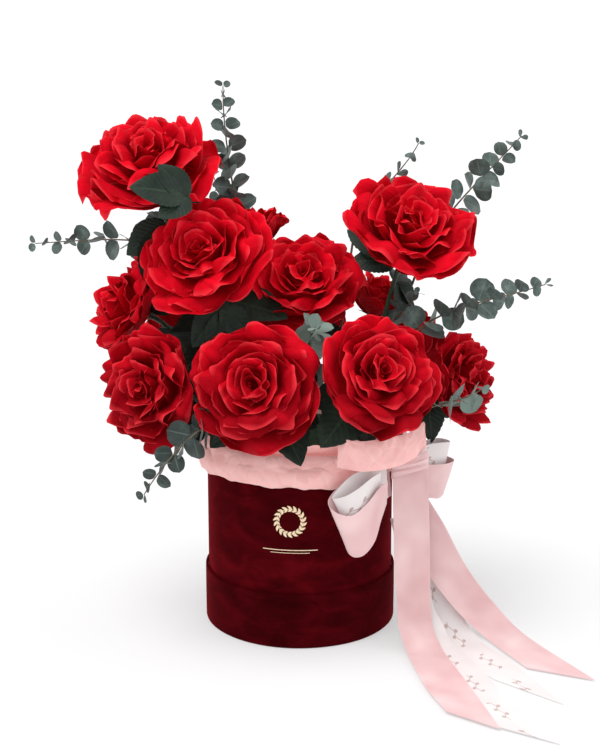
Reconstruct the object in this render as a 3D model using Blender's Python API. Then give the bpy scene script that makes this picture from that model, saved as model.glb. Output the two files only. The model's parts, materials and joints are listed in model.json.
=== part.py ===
"""A round velvet flower box standing in its own lid, filled with roses and eucalyptus.

The frame: +Z up, the origin at the centre of the lid's underside, -Y towards the front.
Places and sizes in this script are in millimetres, and mm() or MM turns them into metres.
"""

import math

import bmesh
import bpy
from mathutils import Matrix, Vector

MM = 0.001
GAP = 0.3

# The lid, upside down under the box.
LID_RADIUS = 100.0
LID_HEIGHT = 58.0
VELVET = 1.0
LID_BOARD = 1.5
PANEL_BOARD = 2.0

# The box, which stands in the lid.
BOX_RADIUS = 96.8
BOX_TOP = 180.0
BOX_VELVET = 0.8
BOX_BOARD = 1.9
TURN_IN = 14.0

# What the box holds.
LINER_RADIUS = 90.0
LINER_WALL = 0.8
LINER_TOP = 176.0
FOAM_RADIUS = 88.6
FOAM_TOP = 196.0
FOAM_CHAMFER = 6.0
COLLAR_TOP = 212.0

# Stems and leaves.
ROSE_STEM = 2.6
SPRIG_STEM = 1.4
HOLE_CLEARANCE = 0.4
NECK = 36.0
LEAF_THICKNESS = 1.0

# Ribbons.
RIBBON = 0.8

ROUND = 40
STEM_SIDES = 6

# name: head's centre, the way the bloom faces, bloom's diameter, stem's foot in the foam
# (distance from the axis, height), leaves (direction, length)
ROSES = {
    "rose_top_left": ((-147, -30, 488), (-0.15, -0.45, 0.88), 128, (30, 92),
                      [((-0.25, 0.1, -1.0), 62), ((1.0, 0.3, -0.25), 58)]),
    "rose_upper_left": ((-94, -70, 401), (-0.30, -0.70, 0.65), 124, (28, 98),
                        [((0.5, -0.75, -0.75), 48), ((0.6, 0.75, -0.2), 56)]),
    "rose_top_right": ((112, -30, 420), (0.22, -0.55, 0.80), 128, (26, 92), [((-0.7, 0.1, 1.0), 60)]),
    "rose_centre": ((2, -14, 364), (0.0, -0.66, 0.75), 120, (12, 85), []),
    "rose_far_left": ((-180, 4, 334), (-0.85, -0.32, 0.40), 97, (38, 125), [((-0.2, 0.9, -0.3), 45)]),
    "rose_low_left": ((-148, -75, 270), (-0.62, -0.75, 0.20), 115, (46, 152), []),
    "rose_front_left": ((-44, -120, 285), (-0.12, -0.93, 0.36), 122, (42, 138), [((0.55, -0.7, -0.8), 58)]),
    "rose_front_right": ((76, -115, 294), (0.28, -0.80, 0.53), 117, (44, 138), [((-0.75, -0.5, -0.6), 50)]),
    "rose_low_right": ((168, -22, 263), (0.85, -0.45, 0.25), 97, (48, 158), [((0.2, -0.5, -0.9), 42)]),
    "rose_crown": ((-56, 70, 400), (-0.10, 0.35, 0.93), 94, (24, 90), []),
    "rose_mid_right": ((86, 58, 330), (0.45, 0.10, 0.88), 88, (28, 110), [((-0.4, 0.9, -0.2), 45)]),
    "rose_back_left": ((-124, 97, 300), (-0.60, 0.65, 0.45), 102, (40, 138), [((-0.2, 0.7, -0.9), 52)]),
    "rose_back": ((0, 130, 285), (0.0, 0.88, 0.47), 108, (44, 145), [((0.6, 0.5, -0.8), 54)]),
    "rose_back_right": ((122, 112, 266), (0.60, 0.70, 0.40), 98, (46, 150), [((0.5, 0.1, -1.0), 48)]),
}

# name: end of the straight stretch, tip, the way the tip points, stem's foot in the foam, leaf pairs,
# the largest leaf's length
SPRIGS = {
    "sprig_tall": ((-60, 19, 400), (-77, 20, 556), (0.02, 0.0, 1.0), (22, 105), 7, 25),
    "sprig_left": ((-104, 48, 352), (-276, 50, 390), (-1.0, 0.0, -0.05), (30, 128), 6, 25),
    "sprig_top_mid": ((54, 33, 392), (122, 54, 494), (0.45, 0.0, 0.9), (20, 105), 3, 20),
    "sprig_top_right": ((122, 20, 372), (226, 42, 503), (0.65, 0.0, 0.75), (32, 112), 5, 25),
    "sprig_right": ((100, -32, 292), (241, -62, 371), (0.9, -0.1, 0.35), (42, 132), 7, 26),
    "sprig_low_left": ((-73, -95, 234), (-150, -152, 184), (-0.5, -0.3, -0.8), (52, 172), 5, 24),
    "sprig_front": ((4, -64, 298), (15, -108, 338), (0.1, -0.8, 0.5), (26, 130), 3, 24),
    "sprig_low_right": ((118, -68, 240), (176, -106, 276), (0.7, -0.3, 0.65), (50, 168), 4, 24),
    "sprig_mid": ((84, -8, 300), (120, -18, 352), (0.5, -0.4, 0.75), (50, 160), 2, 22),
    "sprig_back_left": ((-66, 98, 336), (-96, 186, 440), (-0.3, 0.5, 0.8), (36, 128), 6, 25),
}


def mm(x, y, z):
    """A point given in millimetres."""
    return Vector((x, y, z)) * MM


def clear_scene():
    for obj in list(bpy.data.objects):
        bpy.data.objects.remove(obj)


def material(name, colour, roughness, metallic=0.0):
    made = bpy.data.materials.new(name)
    made.use_nodes = True
    shader = made.node_tree.nodes["Principled BSDF"]
    shader.inputs["Base Color"].default_value = (*colour, 1.0)
    shader.inputs["Roughness"].default_value = roughness
    shader.inputs["Metallic"].default_value = metallic
    return made


def add_object(name, bm, look, smooth=True):
    """An object made of this bmesh, linked to the scene."""
    bmesh.ops.recalc_face_normals(bm, faces=bm.faces)
    mesh = bpy.data.meshes.new(name)
    bm.to_mesh(mesh)
    bm.free()
    if smooth:
        mesh.shade_smooth()
        mesh.set_sharp_from_angle(angle=math.radians(40))
    mesh.materials.append(look)
    obj = bpy.data.objects.new(name, mesh)
    bpy.context.scene.collection.objects.link(obj)
    return obj


def add_cutter(name, bm):
    """A helper that only cuts or joins, and isn't part of the object."""
    bmesh.ops.recalc_face_normals(bm, faces=bm.faces)
    mesh = bpy.data.meshes.new(name)
    bm.to_mesh(mesh)
    bm.free()
    obj = bpy.data.objects.new(name, mesh)
    obj.hide_render = True
    obj.display_type = "WIRE"
    bpy.context.scene.collection.objects.link(obj)
    return obj


def boolean(obj, other, operation):
    modifier = obj.modifiers.new(operation.title(), "BOOLEAN")
    modifier.operation = operation
    modifier.object = other
    modifier.solver = "EXACT"
    modifier.use_self = True


def bridge(bm, rings, closed=False):
    """Joins rings of the same number of vertices, each to the next, with quads."""
    pairs = list(zip(rings, rings[1:]))
    if closed:
        pairs.append((rings[-1], rings[0]))
    for low, high in pairs:
        for i in range(len(low)):
            j = (i + 1) % len(low)
            bm.faces.new((low[i], low[j], high[j], high[i]))


def turned(profile, steps=ROUND):
    """A closed solid of revolution about Z from (radius, height) points in millimetres.

    A profile that starts and ends on the axis is closed there. Any other closes on itself as a ring.
    """
    bm = bmesh.new()
    on_axis = profile[0][0] == 0 and profile[-1][0] == 0
    inner = profile[1:-1] if on_axis else profile
    rings = []
    for radius, height in inner:
        turns = [2 * math.pi * i / steps for i in range(steps)]
        rings.append([bm.verts.new(mm(radius * math.cos(t), radius * math.sin(t), height)) for t in turns])
    bridge(bm, rings, closed=not on_axis)
    if on_axis:
        for ring, (_, height) in ((rings[0], profile[0]), (rings[-1], profile[-1])):
            pole = bm.verts.new(mm(0, 0, height))
            for i in range(steps):
                bm.faces.new((ring[i], ring[(i + 1) % steps], pole))
    return bm


def frames_along(points, up):
    """(tangent, side, normal) at each point of a path, turning as little as possible."""
    frames = []
    normal = Vector(up)
    for i, point in enumerate(points):
        tangent = (points[min(i + 1, len(points) - 1)] - points[max(i - 1, 0)]).normalized()
        normal = (normal - tangent * normal.dot(tangent)).normalized()
        frames.append((tangent, tangent.cross(normal), normal))
    return frames


def tube(bm, points, radii, sides=STEM_SIDES):
    """Adds a capped round tube along points, all in metres."""
    up = (0.31, 0.17, 0.05)
    rings = []
    for point, radius, (_, side, normal) in zip(points, radii, frames_along(points, up)):
        turns = [2 * math.pi * i / sides for i in range(sides)]
        ring = [point + radius * (side * math.cos(t) + normal * math.sin(t)) for t in turns]
        rings.append([bm.verts.new(p) for p in ring])
    bridge(bm, rings)
    bm.faces.new(rings[0])
    bm.faces.new(rings[-1])


def strip(bm, edges, thickness):
    """Adds a flat strip between two long edges, given as pairs of points in metres."""
    rings = []
    for i, (left, right) in enumerate(edges):
        before, after = edges[max(i - 1, 0)], edges[min(i + 1, len(edges) - 1)]
        along = after[0] + after[1] - before[0] - before[1]
        out = along.cross(right - left).normalized() * thickness / 2
        rings.append([bm.verts.new(p) for p in (left - out, right - out, right + out, left + out)])
    bridge(bm, rings)
    bm.faces.new(rings[0])
    bm.faces.new(rings[-1])


def smooth_path(points, count):
    """count + 1 points on a Catmull-Rom curve through these points."""
    ends = [2 * points[0] - points[1], *points, 2 * points[-1] - points[-2]]
    spans = len(points) - 1
    path = []
    for k in range(count + 1):
        at = k * spans / count
        i = min(int(at), spans - 1)
        t = at - i
        a, b, c, d = ends[i:i + 4]
        path.append(0.5 * (2 * b + (c - a) * t + (2 * a - 5 * b + 4 * c - d) * t**2
                           + (3 * b - a - 3 * c + d) * t**3))
    return path


def bezier(a, b, c, d, count):
    """count + 1 points on a cubic Bezier curve."""
    path = []
    for k in range(count + 1):
        t = k / count
        s = 1 - t
        path.append(s**3 * a + 3 * s * s * t * b + 3 * s * t * t * c + t**3 * d)
    return path


def leaf_plate(bm, root, direction, up, length, width):
    """Adds a flat leaf: a closed plate with a pointed oval outline."""
    along = Vector(direction).normalized()
    side = along.cross(Vector(up)).normalized()
    out = side.cross(along).normalized() * LEAF_THICKNESS * MM / 2
    outline = ((0.0, 0.1), (0.45, 0.5), (1.0, 0.1))
    rings = []
    for share, half in outline:
        centre = root + along * length * share
        spread = side * width * half
        rings.append([bm.verts.new(p) for p in (centre - spread - out, centre + spread - out,
                                                centre + spread + out, centre - spread + out)])
    bridge(bm, rings)
    bm.faces.new(rings[0])
    bm.faces.new(rings[-1])


def foot_of(knee, foot):
    """The stem's lowest point, in the same upright plane through the axis as the point where it bends."""
    radius, height = foot
    flat = Vector((knee.x, knee.y, 0)).normalized()
    return flat * radius * MM + Vector((0, 0, height * MM))


def pull_empty(name, foot, knee):
    """An empty on the stem's foot with its Z along the way the stem pulls out."""
    axis = (knee - foot).normalized()
    empty = bpy.data.objects.new(name + "_pull", None)
    empty.matrix_world = Matrix.Translation(foot) @ axis.to_track_quat("Z", "Y").to_matrix().to_4x4()
    bpy.context.scene.collection.objects.link(empty)
    return empty


def hang_on(obj, empty):
    """Parents obj to the empty and gives its mesh coordinates in the empty's own frame."""
    obj.data.transform(empty.matrix_world.inverted())
    obj.parent = empty


def with_leaves(obj, leaves):
    """Joins leaf plates to a stem. The leaves' mesh is a helper on the same empty."""
    if leaves is None:
        return
    helper = add_cutter(obj.name + "_leaves", leaves)
    hang_on(helper, obj.parent)
    boolean(obj, helper, "UNION")


# --- the lid and the box -------------------------------------------------------------------------

def make_lid(velvet, board):
    inside = LID_RADIUS - VELVET
    band_inside = inside - GAP - LID_BOARD
    cup = [(0, 0), (LID_RADIUS - 1.0, 0), (LID_RADIUS, 1.0), (LID_RADIUS, LID_HEIGHT - 0.5),
           (LID_RADIUS - 0.5, LID_HEIGHT), (band_inside, LID_HEIGHT), (band_inside, LID_HEIGHT - VELVET),
           (inside, LID_HEIGHT - VELVET), (inside, VELVET), (0, VELVET)]
    add_object("lid_velvet", turned(cup), velvet)
    low = VELVET + GAP
    panel_top = low + PANEL_BOARD
    rim = inside - GAP
    add_object("lid_panel", turned([(0, low), (rim, low), (rim, panel_top), (0, panel_top)]), board)
    band = [(rim, panel_top + GAP), (rim, LID_HEIGHT - VELVET - GAP),
            (band_inside, LID_HEIGHT - VELVET - GAP), (band_inside, panel_top + GAP)]
    add_object("lid_band", turned(band), board)
    return panel_top


def make_box(velvet, board, floor_height):
    low = floor_height + GAP
    velvet_inside = BOX_RADIUS - BOX_VELVET
    tube_outside = velvet_inside - GAP
    tube_inside = tube_outside - BOX_BOARD
    fold = tube_inside - GAP - BOX_VELVET
    sleeve = [(BOX_RADIUS, low), (BOX_RADIUS, BOX_TOP - 0.4), (BOX_RADIUS - 0.4, BOX_TOP),
              (fold + 0.4, BOX_TOP), (fold, BOX_TOP - 0.4), (fold, BOX_TOP - TURN_IN),
              (fold + BOX_VELVET, BOX_TOP - TURN_IN), (fold + BOX_VELVET, BOX_TOP - BOX_VELVET),
              (velvet_inside, BOX_TOP - BOX_VELVET), (velvet_inside, low)]
    add_object("box_velvet", turned(sleeve), velvet)
    top = BOX_TOP - BOX_VELVET - GAP
    wall = [(tube_outside, low), (tube_outside, top), (tube_inside, top), (tube_inside, low)]
    add_object("box_tube", turned(wall), board)
    disc = tube_inside - GAP
    high = low + PANEL_BOARD
    add_object("box_floor", turned([(0, low), (disc, low), (disc, high), (0, high)]), board)
    return high, fold


def make_liner(look, floor_top):
    low = floor_top + GAP
    inside = LINER_RADIUS - LINER_WALL
    cup = [(0, low), (LINER_RADIUS, low), (LINER_RADIUS, LINER_TOP), (inside, LINER_TOP),
           (inside, low + LINER_WALL), (0, low + LINER_WALL)]
    add_object("foam_liner", turned(cup), look)
    return low + LINER_WALL


def make_foam(look, liner_floor, stems):
    """The foam, with a blind hole for each stem; stems is a list of (foot, end, radius) in metres."""
    low = liner_floor + GAP
    block = [(0, low), (FOAM_RADIUS, low), (FOAM_RADIUS, FOAM_TOP - FOAM_CHAMFER),
             (FOAM_RADIUS - FOAM_CHAMFER, FOAM_TOP), (0, FOAM_TOP)]
    foam = add_object("foam_block", turned(block), look)
    bm = bmesh.new()
    for foot, end, radius in stems:
        axis = (end - foot).normalized()
        reach = (radius + HOLE_CLEARANCE) / math.cos(math.pi / STEM_SIDES)
        tube(bm, [foot - axis * HOLE_CLEARANCE * MM, foot + axis * 0.19], [reach * MM] * 2)
    boolean(foam, add_cutter("foam_holes", bm), "DIFFERENCE")


def make_collar(look, fold, pick):
    """The tissue paper: it comes up between the liner and the box, and folds out over the rim."""
    inner = LINER_RADIUS + 0.4
    profile = [(inner, 150), (fold - GAP, 150), (fold - GAP, BOX_TOP + 1), (BOX_RADIUS + 0.5, BOX_TOP + 1),
               (BOX_RADIUS + 0.5, 172), (BOX_RADIUS + 6, 171), (110, 186), (114, COLLAR_TOP - 4),
               (111, COLLAR_TOP), (107, COLLAR_TOP - 6), (100, 192), (inner, 187)]
    collar = add_object("tissue_collar", turned(profile), look)
    foot, end, radius = pick
    bm = bmesh.new()
    tube(bm, [foot, foot + (end - foot) * 1.2], [(radius + HOLE_CLEARANCE) * MM * 1.1] * 2)
    boolean(collar, add_cutter("collar_hole", bm), "DIFFERENCE")


def wrapped(bm, angle, radius, height, half_width, half_height, thickness, segments):
    """Adds a thin curved plate on the box's wall, centred on that turn from the front."""
    rings = []
    for k in range(segments + 1):
        turn = angle + half_width / radius * (2 * k / segments - 1)
        flat = Vector((math.sin(turn), -math.cos(turn), 0))
        low = flat * radius * MM + Vector((0, 0, (height - half_height) * MM))
        out = flat * thickness * MM
        up = Vector((0, 0, 2 * half_height * MM))
        rings.append([bm.verts.new(p) for p in (low, low + up, low + up + out, low + out)])
    bridge(bm, rings)
    bm.faces.new(rings[0])
    bm.faces.new(rings[-1])


def wrapped_ring(angle, radius, height, outer, inner, thickness, segments):
    """A thin ring bent round the box's wall."""
    bm = bmesh.new()
    rings = []
    for k in range(segments):
        turn = 2 * math.pi * k / segments
        ring = []
        for reach, lift in ((inner, 0), (outer, 0), (outer, thickness), (inner, thickness)):
            round_box = angle + reach * math.cos(turn) / radius
            flat = Vector((math.sin(round_box), -math.cos(round_box), 0)) * (radius + lift) * MM
            ring.append(bm.verts.new(flat + Vector((0, 0, (height + reach * math.sin(turn)) * MM))))
        rings.append(ring)
    bridge(bm, rings, closed=True)
    return bm


def make_foil(look):
    """Gold foil on the front: a wreath's ring, and a line under it."""
    turn = math.radians(-6)
    radius = BOX_RADIUS + GAP
    add_object("foil_wreath", wrapped_ring(turn, radius, 136, 15.0, 12.5, 0.3, 32), look)
    bm = bmesh.new()
    wrapped(bm, turn, radius, 104, 28, 1.0, 0.3, 12)
    add_object("foil_line", bm, look)


# --- the flowers ---------------------------------------------------------------------------------

def bloom(name, centre, facing, diameter, look):
    """A bloom's outer shape: a wide cup with five soft lobes and a bud in the middle."""
    radius = diameter / 2
    profile = ((0.12, -0.50), (0.45, -0.45), (0.80, -0.25), (1.0, 0.05),
               (0.90, 0.27), (0.62, 0.43), (0.16, 0.54))
    steps = 15
    axis = Vector(facing).normalized()
    turn = axis.to_track_quat("Z", "Y").to_matrix()
    bm = bmesh.new()
    rings = []
    for reach, height in profile:
        ring = []
        for k in range(steps):
            angle = 2 * math.pi * k / steps
            lobe = 1 + 0.035 * reach * math.cos(5 * angle)
            wave = 0.03 * reach * math.cos(5 * angle + 0.8)
            local = Vector((reach * lobe * math.cos(angle), reach * lobe * math.sin(angle), height + wave))
            ring.append(bm.verts.new(mm(*centre) + turn @ (local * radius * MM)))
        rings.append(ring)
    bridge(bm, rings)
    bm.faces.new(rings[0])
    bm.faces.new(rings[-1])
    return add_object(name, bm, look)


def make_rose(name, centre, facing, diameter, foot, leaves, looks):
    """A rose: its bloom and its stem with leaves, both on one empty. Returns the stem's line in the foam."""
    axis = Vector(facing).normalized()
    base = mm(*centre) - axis * (0.5 * diameter / 2 + 1.5) * MM
    rough = (base - foot_of(base, foot)).normalized()
    knee = base - (axis + rough).normalized() * NECK * MM
    start = foot_of(knee, foot)
    pull = (knee - start).normalized()
    bend = bezier(knee, knee + pull * NECK * MM / 3, base - axis * NECK * MM / 3, base, 4)
    empty = pull_empty(name, start, knee)
    bm = bmesh.new()
    radii = [ROSE_STEM * MM] * 4 + [1.3 * ROSE_STEM * MM, 2.2 * ROSE_STEM * MM]
    tube(bm, [start, *bend], radii)
    stem = add_object(name + "_stem", bm, looks["stem"])
    hang_on(stem, empty)
    plates = None
    if leaves:
        plates = bmesh.new()
        for k, (direction, length) in enumerate(leaves):
            root = bend[2 - k] - Vector(direction).normalized() * ROSE_STEM * MM * 0.3
            leaf_plate(plates, root, direction, (0.3, -0.8, 0.6), length * MM, 0.62 * length * MM)
    with_leaves(stem, plates)
    hang_on(bloom(name + "_bloom", centre, facing, diameter, looks["petal"]), empty)
    return start, knee, ROSE_STEM


def make_sprig(name, knee, tip, pointing, foot, pairs, leaf, look):
    """A eucalyptus sprig with pairs of round leaves. Returns the stem's line in the foam."""
    knee, tip = mm(*knee), mm(*tip)
    start = foot_of(knee, foot)
    pull = (knee - start).normalized()
    reach = (tip - knee).length
    bend = bezier(knee, knee + pull * reach / 3, tip - Vector(pointing).normalized() * reach / 3, tip, 8)
    empty = pull_empty(name, start, knee)
    bm = bmesh.new()
    radii = [SPRIG_STEM * MM * (1 - 0.05 * k) for k in range(len(bend) + 1)]
    tube(bm, [start, *bend], radii, 5)
    stem = add_object(name, bm, look)
    hang_on(stem, empty)
    plates = bmesh.new()
    for pair in range(pairs):
        share = 0.97 - (0.75 if pairs > 3 else 0.5) * pair / pairs
        at = min(int(share * 8), 7)
        root = bend[at].lerp(bend[at + 1], share * 8 - at)
        tangent = (bend[at + 1] - bend[at]).normalized()
        size = leaf * (0.55 + 0.45 * min(1.0, 2 * pair / pairs)) * MM
        turn = Matrix.Rotation(math.radians(90 * pair + 25), 3, tangent)
        across = turn @ tangent.cross(Vector((0.2, 0.9, 0.3))).normalized()
        for side in (across, -across):
            direction = side + tangent * 0.8
            leaf_plate(plates, root, direction, tangent, size, size * 0.9)
    with_leaves(stem, plates)
    return start, knee, SPRIG_STEM


# --- the ribbons ---------------------------------------------------------------------------------

KNOT = (101, -70, 181)
PICK_RADIUS = 1.2

# Each ribbon runs between its two long edges; both edges of one ribbon have as many points.
RIBBONS = {
    "pink_loop_left": (
        [(89, -80, 187), (70, -95, 189), (52, -104, 186), (37, -111, 177), (28, -118, 167), (30, -124, 160),
         (40, -128, 155), (52, -127, 154), (66, -121, 164), (78, -111, 176), (87, -101, 180)],
        [(92, -79, 158), (80, -93, 154), (68, -101, 148), (54, -108, 137), (45, -116, 124), (47, -122, 114),
         (54, -127, 110), (64, -127, 113), (74, -122, 125), (80, -113, 143), (86, -101, 157)]),
    "white_loop_left": (
        [(86, -88, 190), (69, -100, 192), (53, -108, 190), (40, -114, 180), (31.5, -118, 170), (35, -121.3, 169),
         (46, -123, 173), (58, -121, 180), (69, -114, 187), (80, -102, 190)],
        [(88, -87, 158), (79, -98, 157), (67, -106, 153), (55, -112, 144), (48, -117, 134), (50, -120, 134),
         (56, -122, 138), (64, -120, 145), (71, -112, 153), (79, -101, 158)]),
    "pink_loop_right": (
        [(110, -66, 180), (123, -54, 182), (138, -42, 178), (152, -29, 175), (160, -18, 175), (154, -8, 176),
         (140, -10, 180), (125, -26, 182), (115, -44, 180)],
        [(112, -66, 151), (124, -52, 147), (134, -42, 142), (144, -31, 138), (150, -20, 141), (146, -10, 144),
         (134, -12, 148), (122, -28, 150), (114, -46, 152)]),
    "white_loop_right": (
        [(112, -60, 192), (124, -48, 199), (138, -36, 199), (149, -26, 197), (155, -18, 195), (151, -12, 196),
         (140, -15, 198), (127, -30, 199), (117, -45, 195)],
        [(112, -60, 160), (122, -49, 164), (133, -37, 163), (143, -27, 160), (148, -19, 158), (145, -14, 160),
         (135, -17, 163), (125, -32, 165), (116, -46, 162)]),
    "pink_tail_front": (
        [(92, -87.5, 195), (95, -88, 98), (99, -88, 38), (101, -93, 18), (107, -114, 5), (111, -138, 3.2),
         (122, -199, 3.2), (137, -248, 3.2)],
        [(128, -75.5, 193), (132, -76, 98), (134, -77, 36), (137, -83, 15), (143, -103, 4.6), (148, -126, 3.2),
         (163, -189, 3.2), (184, -284, 3.2)]),
    "white_tail_front": (
        [(95, -84, 166), (98, -84.6, 98), (103, -83.6, 40), (109, -86.5, 16), (117, -108, 4), (128, -130, 2),
         (145, -175, 2), (161, -229, 2), (183, -278, 2)],
        [(131, -72.5, 166), (134, -72.5, 98), (139, -72, 40), (147, -74.5, 16), (155, -94, 4), (165, -113, 2),
         (183, -164, 2), (199, -220, 2), (235, -311, 2)]),
    "pink_tail_back": (
        [(97, -72, 134), (110, -66, 106), (130, -61, 68), (156, -62, 33), (176, -68, 13), (191, -80, 3),
         (208, -115, 2), (225, -150, 2)],
        [(131, -66, 148), (148, -59, 118), (169, -54, 76), (190, -50, 44), (209, -46, 20), (224, -54, 5),
         (243, -92, 2), (288, -178, 2)]),
    "white_tail_back": (
        [(92, -60, 126), (102, -60, 88), (118, -58, 42), (132, -68, 13), (148, -96, 1.6), (162, -124, 0.8),
         (176, -150, 0.8), (190, -174, 0.8)],
        [(126, -54, 130), (138, -51, 92), (154, -49, 48), (170, -57, 16), (184, -80, 2), (198, -106, 0.8),
         (216, -142, 0.8), (250, -229, 0.8)]),
}


def make_knot(look):
    """The knot, and the pick that holds the bow in the foam."""
    centre = mm(*KNOT)
    flat = Vector((KNOT[0], KNOT[1], 0)).normalized()
    foot = mm(42, -29, 184)
    head = foot + flat * 66 * MM
    bm = bmesh.new()
    bmesh.ops.create_icosphere(bm, subdivisions=1, radius=1.0)
    across = flat.cross(Vector((0, 0, 1)))
    shape = Matrix((flat * 5 * MM, across * -8 * MM, Vector((0, 0, 13 * MM)))).transposed().to_4x4()
    bm.transform(Matrix.Translation(centre) @ shape)
    add_object("ribbon_knot", bm, look)
    bm = bmesh.new()
    tube(bm, [foot, head], [PICK_RADIUS * MM] * 2, 6)
    add_object("bow_pick", bm, material("pick_wood", (0.62, 0.48, 0.30), 0.8))
    return foot, head, PICK_RADIUS


def make_ribbons(pink, white):
    for name, (first, second) in RIBBONS.items():
        count = 2 * (len(first) - 1)
        edges = zip(*(smooth_path([mm(*p) for p in edge], count) for edge in (first, second)))
        bm = bmesh.new()
        strip(bm, list(edges), RIBBON * MM)
        add_object(name, bm, pink if name.startswith("pink") else white)


def make_tissue_fold(look):
    """The piece of tissue that is folded over the bow."""
    spine = ((40, -116, 212), (60, -115, 211), (84, -106, 212), (106, -90, 214), (122, -66, 216))
    points = smooth_path([mm(*p) for p in spine], 12)
    bm = bmesh.new()
    rings = []
    for k, point in enumerate(points):
        flat = Vector((point.x, point.y, 0)).normalized()
        swell = math.sin(math.pi * (k + 1) / (len(points) + 1))
        depth, height = flat * (1.5 + 2 * swell) * MM, Vector((0, 0, (5 + 10 * swell) * MM))
        turns = [2 * math.pi * i / 8 for i in range(8)]
        rings.append([bm.verts.new(point + depth * math.cos(t) + height * math.sin(t)) for t in turns])
    bridge(bm, rings)
    bm.faces.new(rings[0])
    bm.faces.new(rings[-1])
    add_object("tissue_fold", bm, look)


def main():
    clear_scene()
    velvet = material("burgundy_velvet", (0.085, 0.004, 0.010), 0.85)
    board = material("grey_board", (0.45, 0.40, 0.34), 0.9)
    looks = {"petal": material("red_petal", (0.62, 0.004, 0.012), 0.6),
             "stem": material("rose_green", (0.020, 0.045, 0.025), 0.6)}
    eucalyptus = material("eucalyptus", (0.16, 0.27, 0.22), 0.6)
    tissue = material("pink_tissue", (0.82, 0.47, 0.47), 0.7)
    pink = material("pink_satin", (0.84, 0.52, 0.54), 0.35)
    white = material("white_satin", (0.82, 0.80, 0.82), 0.4)
    panel_top = make_lid(velvet, board)
    floor_top, fold = make_box(velvet, board, panel_top)
    liner_floor = make_liner(material("clear_film", (0.8, 0.85, 0.85), 0.15), floor_top)
    make_foil(material("gold_foil", (0.83, 0.66, 0.43), 0.3, 1.0))
    pick = make_knot(pink)
    stems = [pick]
    for name, (centre, facing, diameter, foot, leaves) in ROSES.items():
        stems.append(make_rose(name, centre, facing, diameter, foot, leaves, looks))
    for name, (knee, tip, pointing, foot, pairs, leaf) in SPRIGS.items():
        stems.append(make_sprig(name, knee, tip, pointing, foot, pairs, leaf, eucalyptus))
    make_foam(material("green_foam", (0.10, 0.22, 0.10), 0.95), liner_floor, stems)
    make_collar(tissue, fold, pick)
    make_tissue_fold(tissue)
    make_ribbons(pink, white)


main()
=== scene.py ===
import json
import math
import random

import bpy
import numpy as np
from mathutils import Matrix, Vector, noise


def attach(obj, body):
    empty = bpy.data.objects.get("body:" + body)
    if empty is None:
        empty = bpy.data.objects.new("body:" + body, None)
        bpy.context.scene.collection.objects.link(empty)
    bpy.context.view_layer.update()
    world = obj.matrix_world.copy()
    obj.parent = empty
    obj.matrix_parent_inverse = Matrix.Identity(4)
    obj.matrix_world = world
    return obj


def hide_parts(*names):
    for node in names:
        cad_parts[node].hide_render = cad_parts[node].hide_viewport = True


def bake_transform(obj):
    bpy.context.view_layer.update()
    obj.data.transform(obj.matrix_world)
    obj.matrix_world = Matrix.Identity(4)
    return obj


MM = 0.001

# Blender seeds its vector noise from the clock. With a fixed seed, every run gives the same tissue.
noise.seed_set(7)

# The camera and the room.
CAMERA_AT = (0.0, -1.75, 0.742)
CAMERA_DOWN = math.radians(15.35)
CAMERA_LENS = 84.3
FLOOR_Z = -0.0003
FLOOR_RINGS = (0.0, 0.5, 1.0, 2.0, 4.0, 8.0, 16.0, 40.0)

# Suns: name, the way towards it, how broad it is in degrees, power.
SUNS = (("key", (-0.42, -0.34, 1.3), 40, 2.0), ("fill", (1.0, 0.05, 0.35), 60, 0.7))
WORLD_LIGHT = 0.82

# The round box, in millimetres. Its velvet is wrapped by hand, up to WALL_WOBBLE out of round.
LID_RADIUS = 100.0
LID_TOP = 58.0
BOX_RADIUS = 96.8
BOX_TOP = 180.0
WALL_STEPS = 160
WALL_WOBBLE = 0.25

# The foil print: where its middle is round the box, how far it stands off, and its wreath.
EMBLEM_TURN = math.radians(-6)
FOIL_LIFT = 0.42
WREATH_HEIGHT = 136.0
WREATH_RADIUS = 13.2
WREATH_LEAVES = 18

# Roses: how many petals a bloom has, and how finely one is drawn.
PETALS = 18
PETAL_ROWS = 20
PETAL_POINTS = 33
BUD_ROWS = 10
BUD_POINTS = 110
GOLDEN_TURN = math.radians(137.5)
# The share of a bloom's radius from which petal edges are drawn in, and how much further they may reach.
EDGE_FROM = 0.80
EDGE_SPAN = 0.27
# The bent stretch of stem under a bloom, and the stem's radius.
NECK = 36 * MM
STEM_RADIUS = 2.6 * MM
# Petals are darker below this height in metres, in place of the shade low in the bouquet.
SHADE_BELOW = 0.36

# Extra outer petals that hang out of a bloom: (direction, how much longer than a petal, in bloom radii).
SAGGING = {
    "rose_top_left": [((-0.80, -0.1, -0.75), 0.24), ((0.9, 0.0, -0.5), 0.08), ((-0.9, 0.1, 0.2), 0.08)],
    "rose_upper_left": [((0.95, 0.1, 0.25), 0.16), ((-0.85, 0.0, -0.6), 0.10), ((0.1, 0.0, 1.0), 0.10)],
    "rose_top_right": [((-0.95, 0.0, 0.55), 0.16), ((0.9, 0.0, -0.7), 0.10)],
    "rose_centre": [((0.9, 0.1, 0.1), 0.06), ((-0.75, -0.2, -0.7), 0.18), ((-0.3, 0.1, 0.9), 0.10)],
    "rose_front_left": [((0.5, -0.2, -0.95), 0.18), ((-0.95, 0.0, 0.0), 0.10), ((0.95, 0.0, 0.25), 0.12)],
    "rose_front_right": [((0.2, -0.2, -1.0), 0.12), ((0.9, 0.0, 0.3), 0.10), ((-0.6, 0.0, 0.8), 0.08)],
    "rose_low_left": [((-0.2, -0.3, -1.0), 0.22), ((-0.9, 0.0, 0.1), 0.04), ((0.1, 0.0, 1.0), 0.10)],
    "rose_far_left": [((-0.4, -0.5, -0.8), 0.14), ((0.1, -0.4, 0.9), 0.12)],
    "rose_low_right": [((0.6, -0.2, -0.8), 0.14), ((-0.2, -0.3, 0.9), 0.12)],
}

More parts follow.
